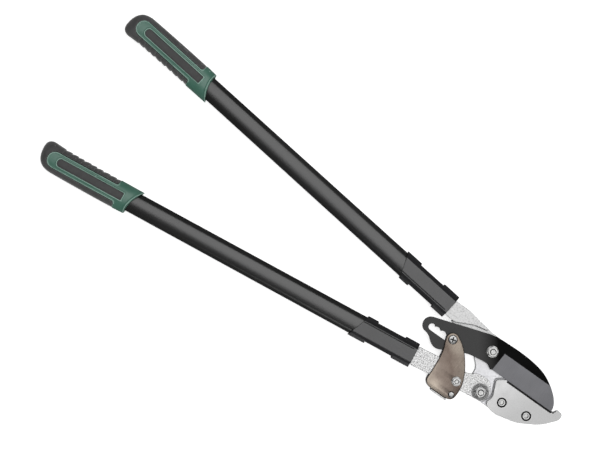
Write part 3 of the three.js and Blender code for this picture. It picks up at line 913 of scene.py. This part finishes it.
def blade():
    """The blade: a coated plate with a ground bevel on both sides of its cutting edge."""
    low, high = layer("blade")
    centre = (low + high) / 2
    steel = plate("cutting_blade", section("blade", centre), low, high, 0.3)
    for side in (1, -1):
        grind(steel, side, centre, (high - low) / 2)
    steel.data.materials.append(MATERIALS["blade_coat"])
    steel.data.materials.append(MATERIALS["ground_bevel"])
    for face in steel.data.polygons:
        place = face.center / MM
        # The ground faces lean a little. The flats don't, and the rounded rims lean far more.
        leans = 0.9 < abs(face.normal.z) < 0.9995
        if leans and place.x > BEVEL["heel"] and place.y < BEVEL["top"] + 1:
            face.material_index = 1
    dress(steel, "blade_coat", "blade", crease=4)


def grind(steel, side, centre, half):
    """Cuts one side's bevel: a flat that runs out at the cutting edge."""
    face = centre + side * half
    thin = centre + side * BEVEL["edge"]
    top = BEVEL["top"]
    below = CUTTING_EDGE - PAST
    section_yz = [(top, face), (below, thin), (below, face + side), (top, face + side)]
    near = [(BEVEL["heel"] + (y - CUTTING_EDGE) * BEVEL["lean"], y, z) for y, z in section_yz]
    far = [(BEVEL["end"], y, z) for y, z in section_yz]
    combine(steel, loft("grinder", [near, far]), "DIFFERENCE")


def castings():
    """The two arms and the anvil, with the edges of their CAD solids rounded off."""
    arm = mould(bare_copy("anvil_arm_casting", "anvil_arm"), 0.5, 4)
    seat = layer("anvil")[0]

    def shaded_seat(at):
        """On the seat where it reaches behind the blade's edge, which gets painted shade."""
        return at.y > STRIKE_Y - 3 and SEAT_X[0] < at.x < SEAT_X[1] and seat - 2 < at.z < seat + 1

    # Painted shade on the seat, seen through the gap under the blade's edge.
    shade(arm, "cast_metal", shaded_seat)
    dress(arm, "cast_metal", "anvil_arm")
    block = mould(bare_copy("anvil_block", "anvil"), 0.4, 3)
    front = layer("anvil")[1] - 0.7
    screws = [middle(node).xy for node in ANVIL_SCREWS]

    def dark(at):
        """On the land behind the striking face, or in a screw's counterbore, which get painted shade."""
        land = at.y > STRIKE_Y - 2.2 and LAND_X[0] < at.x < LAND_X[1]
        return at.z < front and (land or min((at.xy - screw).length for screw in screws) < COUNTERBORE)

    # Painted shade on the land and in the counterbores.
    shade(block, "anvil_metal", dark)
    dress(block, "anvil_metal", "anvil")
    lever = mould(bare_copy("lower_arm_forging", "lower_arm"), 0.5, 4)
    dress(lever, "forged_metal", "lower_arm")


def link_plates():
    """The bronze cover with its rounded rim, and the zinc bracket behind it."""
    low, high = layer("link_front_plate")
    front = plate("link_cover", section("link_front_plate", (low + high) / 2), low, high, 1.1)
    dress(front, "bronze_plate", "link_front_plate")
    back = mould(bare_copy("link_bracket", "link_back_plate"), 0.3, 1)
    dress(back, "zinc_steel", "link_back_plate")


# ---------- handles ----------


def tube_ring(u, grow, total):
    """The tube's section at a distance along the handle, from which it tapers evenly."""
    scale = 1 + TUBE["taper"] * (0.5 - u / total)
    width = TUBE["width"] / 2 + grow
    depth = TUBE["depth"] / 2 + grow
    corner = TUBE["corner"] + grow
    corners = [(width, -depth), (width, depth), (-width, depth), (-width, -depth)]
    outline = divided(rounded([(v, z, corner) for v, z in corners], 14), 1.5)
    crown = TUBE["crown"] / (TUBE["width"] / 2) ** 2
    return [(u, v * scale, z * (1 - crown * v * v / depth)) for v, z in outline]


def tubes():
    """The hollow tubes, with a small chamfer at the head's end."""
    for handle in HANDLES:
        start, end = handle.tube
        wall = TUBE["wall"]
        rings = [
            tube_ring(start, -0.4, handle.end), tube_ring(start + 0.4, 0, handle.end),
            tube_ring(end, 0, handle.end), tube_ring(end, -wall, handle.end),
            tube_ring(start, -wall, handle.end),
        ]
        tube = loft(handle.name + "_oval_tube", rings, cycle=True)
        dress(handle.place(tube), "black_tube", handle.name + "_tube")


def ferrule_section():
    """The ferrule's section: a flat face at the front and the back, slopes beside it and upright sides."""
    half, depth, flat, edge = (FERRULE[key] for key in ("half", "depth", "flat", "edge"))
    return [
        (flat, depth), (-flat, depth), (-half, edge), (-half, -edge), (-flat, -depth), (flat, -depth),
        (half, -edge), (half, edge),
    ]


def bar(name, outline, start, end):
    """An outline across the handle, in v and z, extruded along it."""
    return loft(name, [[(start, v, z) for v, z in outline], [(end, v, z) for v, z in outline]])


def ferrules():
    """A clamp sleeve with a flat face, a raised band at each end of its sides, and a slanted rear edge."""
    rear = FERRULE["rear"]
    inside, half, edge, depth = (BAND[key] for key in ("inside", "half", "edge", "depth"))
    bands = [(-1, 0, 19.5), (-1, 60.5, rear), (1, 0, 25), (1, 65, rear)]
    openings = [(-1, 19.5, 60.5), (1, 25, 65)]
    slant = [(73, -22), (100, -22), (100, 22), (91, 22)]
    for handle in HANDLES:
        sleeve = bar(handle.name + "_sleeve", ferrule_section(), 0, rear)
        for side, start, end in bands:
            outline = [(inside, depth), (half, edge), (half, -edge), (inside, -depth)]
            combine(sleeve, bar("band", [(side * v, z) for v, z in outline], start, end), "UNION")
        for side, start, end in openings:
            outline = [(13.9, -9), (22, -9), (22, 9), (13.9, 9)]
            combine(sleeve, bar("opening", [(side * v, z) for v, z in outline], start, end), "DIFFERENCE")
        combine(sleeve, plate("rear", [slant], -CLEAR_OF_GRIP, CLEAR_OF_GRIP), "DIFFERENCE")
        for face in (1, -1):
            groove = [(-8.2, face * 9.5), (-7.2, face * 9.5), (-7.2, face * 12), (-8.2, face * 12)]
            combine(sleeve, bar("groove", groove, 4, 100), "DIFFERENCE")
        bore = loft("bore", [tube_ring(u, CLEAR, handle.end) for u in (-5, rear + 5)])
        combine(sleeve, bore, "DIFFERENCE")
        mould(sleeve, 0.4, 2)
        dress(handle.place(sleeve), "black_plastic", handle.name + "_ferrule")


# ---------- grips ----------


def smoothstep(low, high, x):
    t = min(max((x - low) / (high - low), 0), 1)
    return t * t * (3 - 2 * t)


def grip_ring(t, grow, ribbed, sides=96):
    """The grip's section at a distance from its rounded end: an oval that leans to the inner side there."""
    root = math.sqrt(t)
    outer = curve_value(OUTER_EDGE, root) + grow
    inner = curve_value(INNER_EDGE, root) - grow
    centre = (outer + inner) / 2
    half = (outer - inner) / 2
    grow += LIP["rise"] * smoothstep(GRIP_MOUTH - 3, GRIP_MOUTH - 1.6, t)
    blunt = max(0, 1 - t / BLUNT["length"])
    depth = max(1.5, (GRIP_DEPTH + grow) * (1 - blunt ** BLUNT["power"]) ** 0.5)
    share = max(0, (t - SCOOP["start"]) / (GRIP_MOUTH - SCOOP["start"]))
    points = []
    for i in range(sides):
        a = 2 * math.pi * i / sides
        across = math.copysign(abs(math.cos(a)) ** 0.8, math.cos(a))
        up = math.copysign(abs(math.sin(a)) ** 0.8, math.sin(a))
        v = centre + half * across
        if ribbed and RIBS["start"] < t < RIBS["end"]:
            wave = ((t - RIBS["start"]) / RIBS["pitch"]) % 1
            valley = (1 - wave) ** 2.5
            v += RIBS["depth"] * valley * smoothstep(0.4, 0.9, -across)
            up *= 1 - RIBS["dip"] * valley * smoothstep(0.3, 0.7, -across)
        scoop = (SCOOP["slant"] * v + SCOOP["depth"] * (1 - across * across)) * share
        points.append((-t + scoop, v, depth * up))
    return points


def grip_body(name, grow, ribbed):
    """The whole grip as one solid, its rounded end at the origin and its mouth towards the head."""
    rounded_end = [0.03, 0.3, 0.8, 1.5, 2.5, 3.7, 5.2, 7, 9, 11.5, 14, 17, 20, 23, 26]
    start = RIBS["start"]
    step = 0.94
    count = int((GRIP_MOUTH - start) / step)
    stations = rounded_end + [start + step * i for i in range(count + 1)]
    return loft(name, [grip_ring(t, grow, ribbed) for t in stations])


def tongue_outline(grow):
    """The collar and the tongue that runs from it to the grip's end, seen from the front."""
    half = TONGUE["half"] + grow
    end = -TONGUE["end"] + grow
    inner = -TONGUE["collar_inner"] + grow
    outer = -TONGUE["collar_outer"] + grow
    return rounded(
        [
            (-190, -40, 0), (inner, -40, 0), (inner, -half, 3.4), (end, -half, half - 0.5),
            (end, half, half - 0.5), (outer, half, 3.4), (outer, 40, 0), (-190, 40, 0),
        ]
    )


def window_outline(grow):
    """The slot in each face of the core that an inlay fills."""
    half = WINDOW["half"] + grow
    near = -WINDOW["near"] - grow
    far = -WINDOW["far"] + grow
    end = half - 0.6
    return rounded([(near, -half, 1.6), (far, -half, end), (far, half, end), (near, half, 1.6)])


def grip_bore(handle, grow, end):
    """The room that a grip leaves for its tube, in the grip's own frame."""
    rings = []
    for t in (GRIP_LENGTH + 20, GRIP_LENGTH - 20, 60, end):
        rings.append([(-t, v, z) for _, v, z in tube_ring(handle.end - t, grow, handle.end)])
    return loft("bore", rings)


def through(name, outline):
    """A tool that cuts an outline right through a grip."""
    return plate(name, [outline], -CLEAR_OF_GRIP, CLEAR_OF_GRIP)


def slab(outline, side, depth):
    """A tool that cuts an outline from outside down to a distance from the grip's middle, on one side."""
    low, high = sorted((side * depth, side * CLEAR_OF_GRIP))
    return plate("slab", [outline], low, high)


def grip_core(handle):
    """The hard core: a collar and two tongues, with a raised lip around each tongue and each inlay."""
    core = grip_body("core", 0, False)
    combine(core, through("tongue", tongue_outline(0)), "INTERSECT")
    reach = LIP["reach"]
    faces_only = [(-GRIP_LENGTH, -reach), (0, -reach), (0, reach), (-GRIP_LENGTH, reach)]
    lips = [
        (tongue_outline(0), tongue_outline(-LIP["width"])),
        (window_outline(LIP["width"]), window_outline(0)),
    ]
    for outside, inside in lips:
        lip = grip_body("lip", LIP["rise"], False)
        combine(lip, through("outside", outside), "INTERSECT")
        combine(lip, plate("inside", [inside], -25, 25), "DIFFERENCE")
        combine(lip, plate("faces_only", [faces_only], -30, 30), "INTERSECT")
        combine(core, lip, "UNION")
    combine(core, grip_bore(handle, CLEAR, 18), "DIFFERENCE")
    for side in (1, -1):
        combine(core, slab(window_outline(0), side, WINDOW["floor"]), "DIFFERENCE")
    return mould(core, 0.4, 2)


def grip_cover(handle):
    """The soft cover around the core, ribbed on its inner side."""
    cover = grip_body("cover", -0.5, True)
    combine(cover, through("tongue", tongue_outline(0.8)), "DIFFERENCE")
    combine(cover, grip_bore(handle, 1.6 + CLEAR, 15.5), "DIFFERENCE")
    return mould(cover, 0.45, 2)


def grip_pad(side):
    """A soft inlay, a little below the lip around it."""
    pad = grip_body("pad", -1.5, False)
    combine(pad, slab(window_outline(-0.25), side, WINDOW["floor"] + CLEAR), "INTERSECT")
    return mould(pad, 0.35, 2)


def grips():
    """Each grip is a copy of the same four pieces, made once in its own frame."""
    first = HANDLES[0]
    parts = [
        (grip_core(first), "grip_core", "hard_grip", "green_plastic"),
        (grip_cover(first), "grip_cover", "soft_grip", "black_rubber"),
        (grip_pad(1), "grip_pad_front", "front_inlay", "black_rubber"),
        (grip_pad(-1), "grip_pad_back", "back_inlay", "black_rubber"),
    ]
    for handle in HANDLES:
        for model, node, name, slot in parts:
            obj = copy_of(f"{handle.name}_{name}", model)
            obj.data.transform(Matrix.Translation((handle.end * MM, 0, 0)))
            dress(handle.place(obj), slot, f"{handle.name}_{node}", crease=50)
    for model, *_ in parts:
        bpy.data.objects.remove(model)


# ---------- carried over ----------


def rivets():
    """The rivets lie inside the ferrules, so their CAD solids only need a finish."""
    for handle in HANDLES:
        for number in (1, 2):
            node = frame["nodes"][f"{handle.name}_rivet_{number}"]
            node.data.materials.clear()
            node.data.materials.append(MATERIALS["zinc_steel"])


# ---------- stage ----------

# The camera's and the lights' lengths are in metres, and the floor's in millimetres.
VIEW_TURN = math.radians(35.41)
VIEW_CENTRE = Vector((-0.299, -0.0108, 0.015))
VIEW_DISTANCE = 2.0
FRAME_WIDTH = 0.78
SENSOR = 36
TOOL_MIDDLE = Vector((-0.25, 0, 0))
FLOOR_SIZE = 3000  # half the floor's side
FLOOR_Z = -0.05  # a hair below the CAD's lowest point
FLOOR_GLOW = 0.6
SKY = 0.12
WHITE = (1, 1, 1, 1)


def camera():
    """Straight above the tool, turned so that the handles run from the upper left to the lower right."""
    data = bpy.data.cameras.new("camera")
    data.sensor_width = SENSOR
    data.lens = SENSOR * VIEW_DISTANCE / FRAME_WIDTH
    obj = link(bpy.data.objects.new("camera", data))
    obj.location = VIEW_CENTRE + Vector((0, 0, VIEW_DISTANCE))
    obj.rotation_euler = (0, 0, VIEW_TURN)
    bpy.context.scene.camera = obj


def soft_box(name, place, size, power):
    """A rectangular light that faces the middle of the tool."""
    data = bpy.data.lights.new(name, "AREA")
    data.shape = "RECTANGLE"
    data.size = size[0]
    data.size_y = size[1]
    data.energy = power
    obj = link(bpy.data.objects.new(name, data))
    obj.location = place
    obj.rotation_euler = (TOOL_MIDDLE - place).to_track_quat("-Z", "Y").to_euler()


def floor():
    """A pale floor that glows a little, so that it is white, and that doesn't show in the metal."""
    corners = [(-1, -1), (1, -1), (1, 1), (-1, 1)]
    vertices = [(FLOOR_SIZE * x, FLOOR_SIZE * y, FLOOR_Z) for x, y in corners]
    flat = mesh_object("floor", vertices, [(0, 1, 2, 3)])
    finish = Finish("pale_floor", roughness=0.9)
    finish.shader.inputs["Emission Color"].default_value = WHITE
    finish.shader.inputs["Emission Strength"].default_value = FLOOR_GLOW
    finish.colour(finish.ramp(finish.noise(80, 2), (0.3, grey(0.86)), (0.7, grey(0.88))))
    flat.data.materials.append(finish.material)
    flat.visible_glossy = False


def lights():
    """A large soft box overhead, which the dark flats reflect, a weak one low on one side, and a dim sky."""
    down = Vector((math.sin(VIEW_TURN), -math.cos(VIEW_TURN), 0))
    soft_box("overhead", Vector((0.2, 0, 2.3)) - down * 0.5, (2.1, 2.0), 49)
    soft_box("lower_side", TOOL_MIDDLE + down * 1.7 + Vector((0, 0, 1.2)), (1.8, 0.7), 10)
    world = bpy.data.worlds.new("sky")
    world.use_nodes = True
    background = world.node_tree.nodes["Background"]
    background.inputs["Color"].default_value = WHITE
    background.inputs["Strength"].default_value = SKY
    bpy.context.scene.world = world
    bpy.context.scene.view_settings.view_transform = "Standard"


camera()
floor()
lights()
blade()
castings()
link_plates()
pivots()
anvil_screws()
ratchet_pin()
spring_post()
ratchet_spring()
tubes()
ferrules()
grips()
rivets()
